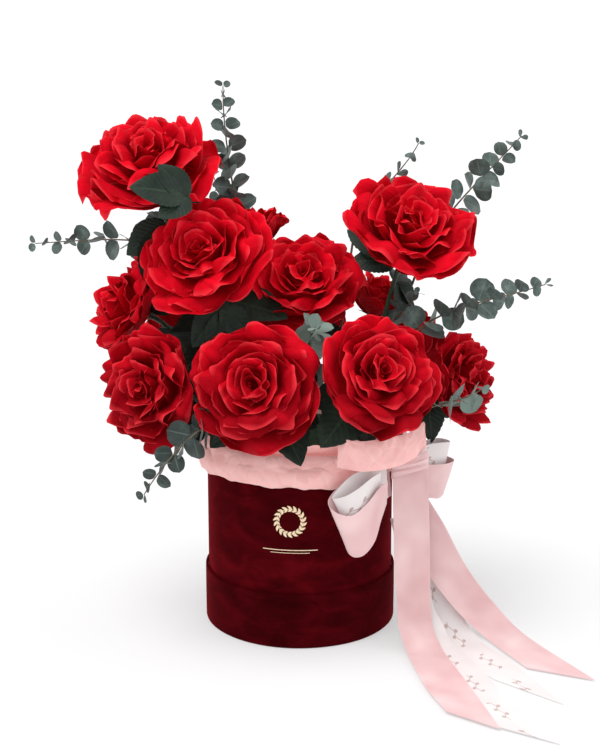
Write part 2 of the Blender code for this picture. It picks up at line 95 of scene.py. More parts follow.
# Leaves on a rose's stem: (share of the way from the bloom down, direction, length in mm, and where the leaf
# stands off on a stalk, the stalk's run in mm).
ROSE_LEAVES = {
    "rose_top_left": [(0.12, (-0.75, -0.45, 0.30), 54, (30, -77, 36)),
                      (0.10, (-0.25, -0.2, -1.0), 64), (0.12, (1.0, -0.2, -0.2), 62),
                      (0.10, (-0.7, 0.6, -0.3), 50)],
    "rose_upper_left": [(0.10, (0.12, -0.40, -0.85), 60, (-2, -36, -4)), (0.12, (1.0, -0.5, -0.1), 60),
                        (0.2, (-0.9, -0.4, -0.4), 56), (0.3, (0.2, 0.9, -0.2), 50)],
    "rose_top_right": [(0.05, (-0.80, 0.40, 0.62), 60), (0.14, (0.5, 0.7, -0.4), 54)],
    "rose_centre": [(0.12, (-0.5, -0.8, -0.5), 56), (0.2, (0.6, -0.75, -0.3), 56),
                    (0.4, (-0.6, -0.8, 0.1), 50)],
    "rose_far_left": [(0.03, (0.15, 0.0, 1.0), 50), (0.2, (-0.2, 0.9, -0.3), 45),
                      (0.12, (0.5, -0.8, -0.3), 58), (0.2, (0.9, -0.4, 0.0), 58),
                      (0.3, (0.3, -0.7, -0.7), 50)],
    "rose_low_left": [(0.25, (-0.1, -0.7, -0.7), 50), (0.2, (-0.8, 0.3, -0.6), 48),
                      (0.2, (0.4, -0.4, 0.9), 52)],
    "rose_front_left": [(0.10, (0.62, -0.85, -0.75), 80), (0.12, (-0.75, -0.7, -0.65), 66),
                        (0.3, (0.7, -0.6, 0.2), 50), (0.3, (-0.7, -0.5, 0.4), 50)],
    "rose_front_right": [(0.10, (-0.60, -0.80, -0.60), 70), (0.2, (0.7, -0.5, -0.5), 54),
                         (0.3, (0.6, -0.2, 0.6), 50)],
    "rose_low_right": [(0.15, (0.2, -0.5, -0.9), 48), (0.3, (0.6, 0.4, -0.3), 42),
                       (0.3, (-0.4, -0.8, 0.2), 46)],
    "rose_crown": [(0.2, (0.4, 0.8, 0.1), 50), (0.3, (-0.7, 0.5, -0.2), 48)],
    "rose_mid_right": [(0.2, (-0.4, 0.9, -0.2), 45), (0.15, (0.8, -0.5, -0.6), 50)],
    "rose_back_left": [(0.2, (-0.2, 0.7, -0.9), 52), (0.3, (-0.8, 0.1, -0.5), 48)],
    "rose_back": [(0.2, (0.6, 0.5, -0.8), 54), (0.3, (-0.7, 0.5, -0.5), 50)],
    "rose_back_right": [(0.2, (0.5, 0.1, -1.0), 48), (0.3, (-0.3, 0.8, -0.4), 46)],
}

# Eucalyptus, in millimetres: end of the stem's straight stretch, tip, the way the tip points, how many leaf
# pairs, and the leaf length from which all of its leaves are sized.
SPRIGS = {
    "sprig_tall": ((-60, 19, 400), (-77, 20, 556), (0.02, 0.0, 1.0), 13, 24),
    "sprig_left": ((-104, 48, 352), (-276, 50, 390), (-1.0, 0.0, -0.05), 12, 25),
    "sprig_top_mid": ((54, 33, 392), (122, 54, 494), (0.45, 0.0, 0.9), 6, 20),
    "sprig_top_right": ((122, 20, 372), (226, 42, 503), (0.65, 0.0, 0.75), 10, 25),
    "sprig_right": ((100, -32, 292), (241, -62, 371), (0.9, -0.1, 0.35), 11, 27),
    "sprig_low_left": ((-73, -95, 234), (-150, -152, 184), (-0.5, -0.3, -0.8), 9, 25),
    "sprig_front": ((4, -64, 298), (15, -108, 338), (0.1, -0.8, 0.5), 6, 29),
    "sprig_low_right": ((118, -68, 240), (176, -106, 276), (0.7, -0.3, 0.65), 5, 30),
    "sprig_mid": ((84, -8, 300), (120, -18, 352), (0.5, -0.4, 0.75), 4, 22),
    "sprig_back_left": ((-66, 98, 336), (-96, 186, 440), (-0.3, 0.5, 0.8), 8, 25),
}

# What a sprig in the shade, or one that the light shines through, adds to the tint of its leaves.
SPRIG_TINTS = {"sprig_low_left": 1.0, "sprig_front": -1.4, "sprig_low_right": -1.4}

# The velvet's colours, from crushed to raised nap: (share of the brushed noise, colour).
VELVET = ((0.28, (0.030, 0.0004, 0.0014)), (0.5, (0.058, 0.0009, 0.0026)), (0.72, (0.105, 0.002, 0.005)))

# The tissue's layers, in millimetres: (radius, height) from inside the box up and out over its rim. They reach
# no further in than TISSUE_INSIDE, plus 0.5 for each layer, and no further out than TISSUE_OUTSIDE.
TISSUE_LAYERS = {
    "tissue_inner": [(91.8, 164), (92.4, 184), (94.5, 200), (99, 212), (105, 220)],
    "tissue_middle": [(92.2, 166), (92.6, 184), (96, 200), (102, 207), (108, 203), (110, 192)],
    "tissue_outer": [(92.0, 168), (92.4, 183), (96, 195), (103, 199), (109, 193), (110, 184), (107, 174)],
}
TISSUE_INSIDE = 91.4
TISSUE_OUTSIDE = 114.5
TISSUE_ROWS = 24
TISSUE_STEPS = 480
FOLD_SPINE = [(36, -114, 214), (60, -117, 212), (84, -108, 212), (106, -92, 213), (124, -66, 218)]

# The ribbons: how thick, how finely drawn across, and each one's two long edges, in millimetres.
RIBBON_THICK = 0.35 * MM
RIBBON_POINTS = 9
RIBBONS = {
    "pink_loop_left": (
        [(89, -80, 187), (70, -95, 189), (52, -104, 186), (37, -111, 177), (28, -118, 167), (30, -124, 160),
         (40, -128, 155), (52, -127, 154), (66, -121, 164), (78, -111, 176), (87, -101, 180)],
        [(92, -79, 158), (80, -93, 154), (68, -101, 148), (54, -108, 137), (45, -116, 124), (47, -122, 114),
         (54, -127, 110), (64, -127, 113), (74, -122, 125), (80, -113, 143), (86, -101, 157)]),
    "white_loop_left": (
        [(86, -88, 190), (69, -100, 192), (53, -108, 190), (40, -114, 180), (31.5, -118, 170),
         (35, -121.3, 169), (46, -123, 173), (58, -121, 180), (69, -114, 187), (80, -102, 190)],
        [(88, -87, 158), (79, -98, 157), (67, -106, 153), (55, -112, 144), (48, -117, 134), (50, -120, 134),
         (56, -122, 138), (64, -120, 145), (71, -112, 153), (79, -101, 158)]),
    "pink_loop_right": (
        [(110, -66, 180), (123, -54, 182), (138, -42, 178), (152, -29, 175), (160, -18, 175), (154, -8, 176),
         (140, -10, 180), (125, -26, 182), (115, -44, 180)],
        [(112, -66, 151), (124, -52, 147), (134, -42, 142), (144, -31, 138), (150, -20, 141), (146, -10, 144),
         (134, -12, 148), (122, -28, 150), (114, -46, 152)]),
    "white_loop_right": (
        [(112, -60, 192), (124, -48, 199), (138, -36, 199), (149, -26, 197), (155, -18, 195), (151, -12, 196),
         (140, -15, 198), (127, -30, 199), (117, -45, 195)],
        [(112, -60, 160), (122, -49, 164), (133, -37, 163), (143, -27, 160), (148, -19, 158), (145, -14, 160),
         (135, -17, 163), (125, -32, 165), (116, -46, 162)]),
    "pink_tail_front": (
        [(92, -87.5, 195), (95, -88, 98), (99, -88, 38), (101, -93, 18), (107, -114, 5), (111, -138, 3.2),
         (122, -199, 3.2), (137, -248, 3.2)],
        [(128, -75.5, 193), (132, -76, 98), (134, -77, 36), (137, -83, 15), (143, -103, 4.6),
         (148, -126, 3.2), (163, -189, 3.2), (184, -284, 3.2)]),
    "white_tail_front": (
        [(94, -84, 166), (96, -84.6, 98), (101, -83.6, 40), (109, -86.5, 16), (117, -108, 4), (128, -130, 2),
         (145, -175, 2), (161, -229, 2), (183, -278, 2)],
        [(126, -72.5, 166), (129.5, -72.5, 98), (136, -72, 40), (147, -74.5, 16), (155, -94, 4),
         (165, -113, 2), (183, -164, 2), (199, -220, 2), (235, -311, 2)]),
    "pink_tail_back": (
        [(97, -72, 134), (110, -66, 106), (130, -61, 68), (156, -62, 33), (176, -68, 13), (191, -80, 3),
         (208, -115, 2), (225, -150, 2)],
        [(131, -66, 148), (148, -59, 118), (169, -54, 76), (190, -50, 44), (209, -46, 20), (224, -54, 5),
         (243, -92, 2), (288, -178, 2)]),
    "white_tail_back": (
        [(92, -60, 126), (102, -60, 88), (118, -58, 42), (132, -68, 13), (148, -96, 1.6), (162, -124, 0.8),
         (176, -150, 0.8), (190, -174, 0.8)],
        [(126, -54, 130), (138, -51, 92), (154, -49, 48), (170, -57, 16), (184, -80, 2), (198, -106, 0.8),
         (216, -142, 0.8), (250, -229, 0.8)]),
}

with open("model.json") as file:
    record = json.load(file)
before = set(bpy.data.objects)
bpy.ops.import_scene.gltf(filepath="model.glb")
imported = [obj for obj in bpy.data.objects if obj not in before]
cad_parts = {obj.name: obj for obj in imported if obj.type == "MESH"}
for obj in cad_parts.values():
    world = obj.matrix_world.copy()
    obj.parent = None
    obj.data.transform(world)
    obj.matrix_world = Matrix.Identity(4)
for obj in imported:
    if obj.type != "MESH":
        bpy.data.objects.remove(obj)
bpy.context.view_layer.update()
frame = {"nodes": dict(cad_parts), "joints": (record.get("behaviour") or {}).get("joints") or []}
nodes = frame["nodes"]
pulls = {joint["child"]: Vector(joint["axis"]).normalized() for joint in frame["joints"]}


# --- small tools

def mm(x, y, z):
    return Vector((x, y, z)) * MM


def lerp(a, b, t):
    return a + (b - a) * t


def level(turn):
    """The level direction at this turn round the box."""
    return Vector((math.cos(turn), math.sin(turn), 0))


def smooth_path(points, count):
    """count + 1 points on a Catmull-Rom curve through these points."""
    ends = [2 * points[0] - points[1], *points, 2 * points[-1] - points[-2]]
    spans = len(points) - 1
    path = []
    for k in range(count + 1):
        at = k * spans / count
        i = min(int(at), spans - 1)
        t = at - i
        a, b, c, d = ends[i:i + 4]
        path.append(0.5 * (2 * b + (c - a) * t + (2 * a - 5 * b + 4 * c - d) * t**2
                           + (3 * b - a - 3 * c + d) * t**3))
    return path


def bezier(a, b, c, d, count):
    """count + 1 points on the cubic curve from a to d that is drawn towards b and c."""
    shares = [(1 - k / count, k / count) for k in range(count + 1)]
    return [s**3 * a + 3 * s * s * t * b + 3 * s * t * t * c + t**3 * d for s, t in shares]


class Sheets:
    """Grids of points gathered into one mesh, with UVs and a tint for each grid."""

    def __init__(self):
        self.points = []
        self.faces = []
        self.uvs = []
        self.tints = []

    def add(self, rows, tint=0.5, wrap=False, uvs=None):
        start, across = len(self.points), len(rows[0])
        last = len(rows) - 1
        for r, row in enumerate(rows):
            for c, point in enumerate(row):
                self.points.append(tuple(point))
                self.uvs.append(uvs[r][c] if uvs else (c / (across - 1), r / last))
                self.tints.append(tint)
        for r in range(last):
            for c in range(across if wrap else across - 1):
                a, b = start + r * across + c, start + r * across + (c + 1) % across
                self.faces.append((a, b, b + across, a + across))

    def build(self, name, look):
        mesh = bpy.data.meshes.new(name)
        mesh.from_pydata(self.points, [], self.faces)
        corners = np.empty(len(mesh.loops), np.int32)
        mesh.loops.foreach_get("vertex_index", corners)
        layer = mesh.uv_layers.new(name="UVMap")
        layer.data.foreach_set("uv", np.array(self.uvs, np.float32)[corners].ravel())
        tint = mesh.attributes.new("tint", "FLOAT", "POINT")
        tint.data.foreach_set("value", np.array(self.tints, np.float32))
        mesh.shade_smooth()
        mesh.materials.append(look)
        mesh.update()
        obj = bpy.data.objects.new(name, mesh)
        bpy.context.scene.collection.objects.link(obj)
        return obj


def tube_rows(points, radii, sides):
    """Rings round a path, for Sheets.add(..., wrap=True)."""
    normal = Vector((0.31, 0.17, 0.05))
    rows = []
    for i, point in enumerate(points):
        tangent = (points[min(i + 1, len(points) - 1)] - points[max(i - 1, 0)]).normalized()
        normal = (normal - tangent * normal.dot(tangent)).normalized()
        side = tangent.cross(normal)
        turns = [math.tau * k / sides for k in range(sides)]
        rows.append([point + radii[i] * (side * math.cos(t) + normal * math.sin(t)) for t in turns])
    return rows


# --- materials

class Look:
    """A Principled material, its sockets set by keyword, and the few nodes that the recipes share."""

    def __init__(self, name, **sockets):
        self.material = bpy.data.materials.new(name)
        self.material.use_nodes = True
        self.tree = self.material.node_tree
        self.shader = self.tree.nodes["Principled BSDF"]
        for socket, value in sockets.items():
            self.shader.inputs[socket.replace("_", " ")].default_value = value

    def node(self, kind, inputs=(), **settings):
        """A node. Each of its inputs is set to a value, or linked if it is given another node's output."""
        made = self.tree.nodes.new(kind)
        for key, value in settings.items():
            setattr(made, key, value)
        for socket, value in dict(inputs).items():
            if isinstance(value, bpy.types.NodeSocket):
                self.link(value, made.inputs[socket])
            elif value is not None:
                made.inputs[socket].default_value = value
        return made

    def link(self, source, target):
        self.tree.links.new(source, target)

    def coordinates(self, kind="Object", scale=(1, 1, 1)):
        place = self.node("ShaderNodeTexCoord").outputs[kind]
        return self.node("ShaderNodeMapping", {"Vector": place, "Scale": scale}).outputs[0]

    def noise(self, vector, scale, detail, roughness=0.5, distortion=0.0):
        return self.node("ShaderNodeTexNoise", {
            "Vector": vector, "Scale": scale, "Detail": detail, "Roughness": roughness,
            "Distortion": distortion}).outputs["Fac"]

    def cells(self, vector, scale, output, **settings):
        made = self.node("ShaderNodeTexVoronoi", {"Vector": vector, "Scale": scale}, **settings)
        return made.outputs[output]

    def math(self, operation, a, b=None, clamp=False):
        return self.node("ShaderNodeMath", {0: a, 1: b}, operation=operation, use_clamp=clamp).outputs[0]

    def plus(self, a, b):
        return self.math("ADD", a, b)

    def minus(self, a, b, clamp=False):
        return self.math("SUBTRACT", a, b, clamp)

    def times(self, a, b, clamp=False):
        return self.math("MULTIPLY", a, b, clamp)

    def above(self, value, level, gain):
        """0 up to this level, and from there rising to 1."""
        return self.times(self.minus(value, level), gain, clamp=True)

    def below(self, value, level, gain):
        """0 down to this level, and from there rising to 1."""
        return self.times(self.minus(level, value), gain, clamp=True)

    def off_middle(self, across):
        """0 along the middle of a sheet, 1 along its two long edges."""
        return self.math("ABSOLUTE", self.minus(self.times(across, 2.0), 1.0))

    def ramp(self, source, *stops):
        made = self.node("ShaderNodeValToRGB")
        elements = made.color_ramp.elements
        while len(elements) < len(stops):
            elements.new(0.5)
        for element, (position, colour) in zip(elements, stops):
            element.position = position
            element.color = (*colour, 1.0)
        self.link(source, made.inputs["Fac"])
        return made.outputs["Color"]

    def between(self, source, dark, light):
        return self.ramp(source, (0.3, dark), (0.7, light))

    def mix(self, share, a, b):
        a, b = ((*c, 1.0) if isinstance(c, tuple) else c for c in (a, b))
        return self.node("ShaderNodeMix", {0: share, 6: a, 7: b}, data_type="RGBA").outputs[2]

    def bump(self, height, strength, distance):
        """Relief, up to this distance in millimetres."""
        made = self.node("ShaderNodeBump", {
            "Height": height, "Strength": strength, "Distance": distance * MM})
        self.link(made.outputs[0], self.shader.inputs["Normal"])

    def colour(self, source):
        self.link(source, self.shader.inputs["Base Color"])

    def split(self, source):
        return self.node("ShaderNodeSeparateXYZ", {0: source}).outputs

    def uv(self):
        """A sheet's two coordinates: across it, and along it from its root."""
        x, y, _ = self.split(self.node("ShaderNodeTexCoord").outputs["UV"])
        return x, y

    def height(self):
        return self.split(self.coordinates())["Z"]

    def tint(self):
        return self.node("ShaderNodeAttribute", attribute_name="tint").outputs["Fac"]


def plain_look(name, grain, dark, light, bump, scale=(1, 1, 1), **sockets):
    """One noise for colour and relief: grain is its scale and detail, bump its strength and distance."""
    look = Look(name, **sockets)
    fibres = look.noise(look.coordinates(scale=scale), *grain)
    look.colour(look.between(fibres, dark, light))
    look.bump(fibres, *bump)
    return look.material


def petal_look():
    # The faint red emission is painted light: a glow that lightens the shade between the petals.
    look = Look("petal_red", Roughness=0.78, Sheen_Weight=0.06, Sheen_Roughness=0.4,
                Sheen_Tint=(1.0, 0.05, 0.08, 1.0), Specular_IOR_Level=0.07,
                Emission_Color=(0.55, 0.0, 0.006, 1.0), Emission_Strength=0.05)
    across, along = look.uv()
    blotches = look.noise(look.coordinates(), 55, 3.0)
    # Painted shade: each petal is darker towards its foot, deep inside the bloom, and brighter towards its
    # rim.
    deep = look.between(blotches, (0.20, 0.0, 0.003), (0.38, 0.0, 0.005))
    bright = look.between(blotches, (0.60, 0.0, 0.009), (0.86, 0.001, 0.016))
    body = look.mix(look.math("POWER", along, 1.5), deep, bright)
    body = look.mix(look.times(look.tint(), 0.40), body, (0.22, 0.0, 0.004))
    low = look.below(look.height(), SHADE_BELOW, 9.0)
    body = look.mix(look.times(low, 0.62), body, (0.10, 0.0, 0.002))
    # Painted highlight: a lighter band along each petal's edges and tip, where a curled rim catches the light.
    rim = look.times(look.off_middle(across), look.math("GREATER_THAN", along, 0.3))
    rim = look.above(look.math("MAXIMUM", rim, along), 0.955, 24.0)
    look.colour(look.mix(look.times(rim, 0.6), body, (0.85, 0.045, 0.06)))
    veins = look.noise(look.coordinates("UV", (14, 2.2, 1)), 1.6, 4.0)
    grain = look.noise(look.coordinates(), 900, 2.0)
    look.bump(look.plus(veins, look.times(grain, 0.12)), 0.55, 2.4)
    return look.material


def leaf_veins(look, side, along, slant, count):
    """Side veins that run off the rib at a slant."""
    return look.math("SINE", look.times(look.minus(along, look.times(side, slant)), count))


def rose_leaf_look():
    look = Look("rose_leaf", Roughness=0.55, Specular_IOR_Level=0.25)
    across, along = look.uv()
    side = look.off_middle(across)
    veins = leaf_veins(look, side, along, 0.25, 62.0)
    patches = look.noise(look.coordinates(), 60, 3.0)
    green = look.between(patches, (0.006, 0.014, 0.009), (0.016, 0.032, 0.020))
    rib = look.below(side, 0.09, 12.0)
    look.colour(look.mix(look.times(rib, 0.6), green, (0.035, 0.065, 0.036)))
    look.bump(look.plus(look.times(veins, 0.5), look.times(patches, 2.0)), 0.3, 0.6)
    return look.material


def eucalyptus_look():
    """Grey-green with a waxy bloom. A tint above 0 darkens a leaf, and one below 0 makes it paler."""
    look = Look("eucalyptus_leaf", Roughness=0.6, Sheen_Weight=0.15)
    across, along = look.uv()
    side = look.off_middle(across)
    bloom = look.noise(look.coordinates(), 90, 4.0, 0.6)
    green = look.ramp(bloom, (0.3, (0.038, 0.060, 0.052)), (0.52, (0.080, 0.122, 0.108)),
                      (0.75, (0.19, 0.26, 0.235)))
    green = look.mix(look.times(look.tint(), 0.45, clamp=True), green, (0.018, 0.030, 0.026))
    green = look.mix(look.times(look.tint(), -0.6, clamp=True), green, (0.20, 0.285, 0.245))
    rib = look.below(side, 0.08, 12.0)
    look.colour(look.mix(look.times(rib, 0.5), green, (0.20, 0.26, 0.22)))
    veins = leaf_veins(look, side, along, 0.4, 38.0)
    look.bump(look.plus(look.times(veins, 0.4), bloom), 0.25, 0.5)
    return look.material


def stem_look(name, dark, light):
    return plain_look(name, (220, 3.0), dark, light, (0.3, 0.4), scale=(1, 1, 0.2), Roughness=0.6)


def velvet_look(name, depth):
    """Brushed velvet, its colours multiplied by depth; a depth below 1 darkens the whole piece as painted
    shade.
    """
    look = Look(name, Roughness=0.9, Sheen_Weight=0.5, Sheen_Roughness=0.4,
                Sheen_Tint=(0.62 * depth, 0.008, 0.022, 1.0), Specular_IOR_Level=0.02)
    brushed = look.noise(look.coordinates(scale=(1, 1, 1.8)), 26, 5.0, 0.62, 0.6)
    look.colour(look.ramp(brushed, *((at, tuple(depth * c for c in colour)) for at, colour in VELVET)))
    nap = look.noise(look.coordinates(), 1500, 2.0)
    look.bump(look.plus(nap, look.times(brushed, 0.6)), 0.35, 0.5)
    return look.material


def tissue_look():
    """Thin crushed paper: flat facets a little apart in tone, with pale lines along its creases."""
    # The pink emission is painted light: a glow that lightens the tissue's shaded undersides.
    look = Look("tissue_pink", Roughness=0.72,
                Subsurface_Weight=0.35, Subsurface_Radius=(0.012, 0.006, 0.005),
                Emission_Color=(0.9, 0.46, 0.43, 1.0), Emission_Strength=0.17)
    place = look.coordinates()
    creases = look.cells(place, 42, "Distance", feature="DISTANCE_TO_EDGE")
    fine = look.noise(place, 170, 4.0, 0.6)
    body = look.ramp(look.noise(place, 30, 3.0), (0.32, (0.70, 0.35, 0.335)), (0.68, (0.80, 0.46, 0.44)))
    facet = look.node("ShaderNodeSeparateColor", {0: look.cells(place, 70, "Color")}).outputs[0]
    body = look.mix(look.times(facet, 0.38), body, (0.90, 0.60, 0.585))
    line = look.minus(1.0, look.times(creases, 26.0), clamp=True)
    look.colour(look.mix(look.times(line, look.times(fine, 0.35)), body, (0.95, 0.74, 0.72)))
    folds = look.times(look.math("MINIMUM", creases, 0.12), 6.0)
    look.bump(look.plus(look.times(fine, 0.6), folds), 0.42, 1.3)
    return look.material


def satin_look(name, dark, light, printed=False):
    look = Look(name, Roughness=0.36, Sheen_Weight=0.25, Anisotropic=0.4, Specular_IOR_Level=0.55)
    across, along = look.uv()
    # Painted sheen: the soft noise makes light and dark bands along the ribbon in place of its satin
    # highlights; it also gives a slight relief.
    soft = look.noise(look.coordinates("UV", (0.6, 12, 1)), 1.2, 2.0)
    body = look.between(soft, dark, light)
    selvedge = look.above(look.off_middle(across), 0.93, 14.0)
    body = look.mix(look.times(selvedge, 0.3), body, light)
    if printed:
        body = look.mix(look.times(vine_print(look, across, along), 0.75), body, (0.30, 0.13, 0.10))
    look.colour(body)
    ribs = look.math("SINE", look.times(along, 2600.0))
    look.bump(look.plus(look.times(ribs, 0.15), soft), 0.12, 0.4)
    return look.material


def vine_print(look, across, along):
    """A printed vine along the ribbon's middle, in short lengths: a thin wavy stalk with a small leaf on
    each side in turn. along grows by 1 over a metre of ribbon, which has 60 waves and 120 leaves.
    """
    turn = look.times(along, math.tau * 60)
    stalk = look.times(look.math("SINE", turn), 0.028)
    off = look.minus(look.minus(across, 0.5), stalk)
    line = look.math("LESS_THAN", look.math("ABSOLUTE", off), 0.012)
    cell = look.minus(look.math("FRACT", look.times(along, 120.0)), 0.5)
    swing = look.times(look.math("SIGN", look.math("SINE", turn)), 0.058)
    high = look.math("DIVIDE", look.minus(off, swing), 0.046)
    wide = look.math("DIVIDE", look.plus(cell, look.times(high, 0.12)), 0.3)
    far = look.plus(look.times(high, high), look.times(wide, wide))
    leaf = look.math("LESS_THAN", far, 1.0)
    shown = look.math("LESS_THAN", look.math("FRACT", look.times(along, 16.0)), 0.62)
    return look.times(look.times(look.math("MAXIMUM", line, leaf), shown), 0.8)


def foam_look():
    look = Look("foam_green", Roughness=0.96)
    patches = look.noise(look.coordinates(), 40, 2.0)
    look.colour(look.between(patches, (0.020, 0.060, 0.026), (0.040, 0.100, 0.045)))
    look.bump(look.noise(look.coordinates(), 1100, 3.0), 0.7, 0.8)
    return look.material


# --- the room

def make_camera():
    data = bpy.data.cameras.new("camera")
    data.lens = CAMERA_LENS
    data.sensor_width = 36  # millimetres, as the lens
    data.clip_start = 0.05
    camera = bpy.data.objects.new("camera", data)
    camera.location = CAMERA_AT
    camera.rotation_euler = (math.pi / 2 - CAMERA_DOWN, 0, 0)
    bpy.context.scene.collection.objects.link(camera)
    bpy.context.scene.camera = camera
    bpy.context.scene.view_settings.view_transform = "Standard"


def make_room():
    """A plain pale floor that goes on past the horizon."""
    room = Sheets()
    turns = [math.tau * k / 64 for k in range(64)]
    room.add([[Vector((r * math.cos(t), r * math.sin(t), FLOOR_Z)) for t in turns] for r in FLOOR_RINGS],
             wrap=True)
    look = Look("paper_white", Roughness=0.95, Specular_IOR_Level=0.1,
                Emission_Color=(1.0, 1.0, 1.0, 1.0), Emission_Strength=0.40)
    mottle = look.noise(look.coordinates(), 3, 2.0)
    look.colour(look.between(mottle, (0.455, 0.455, 0.46), (0.465, 0.465, 0.47)))
    room.build("floor", look.material)


def make_lights():
    """A broad soft key from above and the left, a weak fill from the right, and white light all round."""
    for name, way, spread, power in SUNS:
        data = bpy.data.lights.new(name, "SUN")
        data.angle = math.radians(spread)
        data.energy = power
        lamp = bpy.data.objects.new(name, data)
        lamp.rotation_euler = Vector(way).to_track_quat("Z", "Y").to_euler()
        bpy.context.scene.collection.objects.link(lamp)
    world = bpy.data.worlds.new("studio")
    world.use_nodes = True
    background = world.node_tree.nodes["Background"]
    background.inputs["Color"].default_value = (1.0, 1.0, 1.0, 1.0)
    background.inputs["Strength"].default_value = WORLD_LIGHT
    bpy.context.scene.world = world


# --- the box and its lid

def velvet_skin(name, profile, look):
    """A turned skin, open or closed as its profile is, with a slight hand-wrapped unevenness."""
    rows = []
    for radius, height in profile:
        row = []
        for k in range(WALL_STEPS):
            flat = level(math.tau * k / WALL_STEPS)
            off = WALL_WOBBLE * noise.noise(flat * 2.2 + Vector((0, 0, height * 0.02)))
            row.append((flat * (radius + off) + Vector((0, 0, height))) * MM)
        rows.append(row)
    made = Sheets()
    made.add(rows, wrap=True)
    return made.build(name, look)


def rounded(corners, reach):
    """The outline with each corner between its ends rounded over reach, in three steps."""
    outline = [corners[0]]
    for before, at, after in zip(corners, corners[1:], corners[2:]):
        a, b, c = (Vector(p) for p in (before, at, after))
        near = b + (a - b).normalized() * min(reach, (a - b).length / 2)
        far = b + (c - b).normalized() * min(reach, (c - b).length / 2)
        for t in (0, 1 / 3, 2 / 3, 1):
            outline.append(tuple((1 - t)**2 * near + 2 * t * (1 - t) * b + t * t * far))
    outline.append(corners[-1])
    return outline


def make_box(velvet, lid_velvet, board):
    inside = BOX_RADIUS - 4.1
    sleeve = [(inside, BOX_TOP - 14), (inside, BOX_TOP), (BOX_RADIUS, BOX_TOP), (BOX_RADIUS, LID_TOP + 30),
              (BOX_RADIUS, LID_TOP - 12), (BOX_RADIUS, 3.6)]
    box = velvet_skin("box_velvet_skin", rounded(sleeve, 1.2), velvet)
    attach(box, "box")
    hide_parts("box_velvet")
    lid_inside = BOX_RADIUS + 0.4
    cup = [(0.5, 0.0), (LID_RADIUS, 0.0), (LID_RADIUS, LID_TOP / 2), (LID_RADIUS, LID_TOP),
           (lid_inside, LID_TOP), (lid_inside, LID_TOP - 12)]
    lid = velvet_skin("lid_velvet_skin", rounded(cup, 1.6), lid_velvet)
    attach(lid, "lid")
    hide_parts("lid_velvet")
    for name in ("lid_band", "lid_panel", "box_tube", "box_floor"):
        paint(name, board)


def paint(name, look):
    """A better material on a CAD node."""
    mesh = nodes[name].data
    mesh.materials.clear()
    mesh.materials.append(look)


def on_wall(across, up, lift):
    """A point on the box's wall: across and up in millimetres from the emblem's centre line and the floor."""
    turn = EMBLEM_TURN + across / BOX_RADIUS
    radius = BOX_RADIUS + lift
    return mm(math.sin(turn) * radius, -math.cos(turn) * radius, up)


def foil_leaf(sheets, at, turn, length, width):
    """A small foil leaf on the wall, from at along turn, slightly domed."""
    rows = []
    for j in range(9):
        along = j / 8
        half = width / 2 * math.sin(math.pi * along**0.85)
        row = []
        for s in (-1, -0.5, 0, 0.5, 1):
            x = at[0] + math.cos(turn) * along * length - math.sin(turn) * s * half
            y = at[1] + math.sin(turn) * along * length + math.cos(turn) * s * half
            row.append(on_wall(x, y, FOIL_LIFT + 0.12 * (1 - s * s)))
        rows.append(row)
    sheets.add(rows)


def foil_line(sheets, half, up, width):
    """A level foil line on the wall, from half its length on one side to half on the other."""
    rows = []
    for j in range(41):
        across = lerp(-half, half, j / 40)
        rows.append([on_wall(across, up + s * width, FOIL_LIFT + 0.06 * (1 - 4 * s * s))
                     for s in (-0.5, 0, 0.5)])
    sheets.add(rows)


def make_foil(look):
    """The foil print: a wreath of small leaves, and a plain double line under it."""
    wreath = Sheets()
    for k in range(WREATH_LEAVES):
        turn = math.tau * k / WREATH_LEAVES
        at = (WREATH_RADIUS * math.cos(turn), WREATH_HEIGHT + WREATH_RADIUS * math.sin(turn))
        foil_leaf(wreath, at, turn + math.radians(62), 6.4, 2.6)
        foil_leaf(wreath, at, turn + math.radians(128), 5.2, 2.2)
    for k in range(72):
        turns = math.tau * k / 72, math.tau * (k + 1) / 72
        wreath.add([[on_wall(reach * math.cos(t), WREATH_HEIGHT + reach * math.sin(t), FOIL_LIFT)
                     for reach in (WREATH_RADIUS - 0.3, WREATH_RADIUS + 0.3)] for t in turns])
    piece = wreath.build("foil_wreath_print", look)
    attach(piece, "box")
    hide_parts("foil_wreath")
    lines = Sheets()
    foil_line(lines, 28, 105.6, 0.9)
    foil_line(lines, 20, 102.6, 0.6)
    piece = lines.build("foil_line_print", look)
    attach(piece, "box")
    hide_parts("foil_line")


# --- roses

def bloom_place(name):
    """A bloom's centre, the way it faces and its radius, measured on its CAD solid."""
    points = np.array([v.co for v in nodes[name + "_bloom"].data.vertices], float)
    points = np.unique(points.round(6), axis=0)
    around = points - points.mean(0)
    axis = Vector(np.linalg.svd(around, full_matrices=False)[2][2]).normalized()
    if axis.dot(pulls[name]) < 0:
        axis = -axis
    heights = points @ np.array(axis)
    base = points[heights < heights.min() + 0.0005]
    radius = (heights.max() - heights.min()) / 1.04
    centre = Vector(base.mean(0)) + axis * radius * 0.5
    return centre, axis, radius


